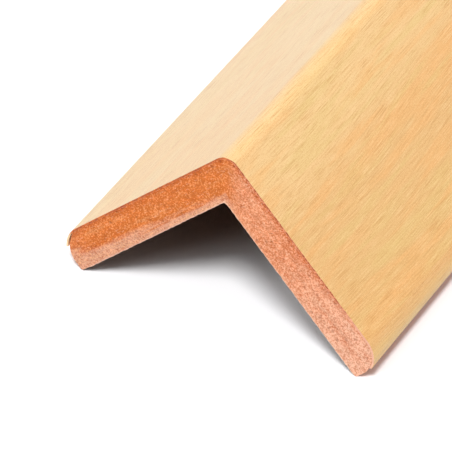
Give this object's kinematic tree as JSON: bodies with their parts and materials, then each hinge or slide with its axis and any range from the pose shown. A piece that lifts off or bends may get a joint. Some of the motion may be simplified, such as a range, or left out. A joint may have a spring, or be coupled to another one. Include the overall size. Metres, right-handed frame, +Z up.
{
  "type": "corner guard moulding",
  "caption": "Foil-wrapped fibreboard angle moulding with a rounded ridge and rounded tips, glued over an outside wall corner to guard and trim it.",
  "frame": {"origin": "middle of the length, midway between the two tips, on the level surface that the back edges of the tips stand on", "axes": "+Y along the length of the stock, +Z up through the ridge, +X towards one tip; the legs lean 45 degrees each way"},
  "size_m": [0.0526, 1.2, 0.0315],
  "materials": {
    "mdf": "raw sawn medium-density fibreboard",
    "beech_foil": "satin beech-look decor foil"
  },
  "bodies": {
    "root": {"mdf_core": "mdf", "decor_foil": "beech_foil"}
  },
  "joints": []
}
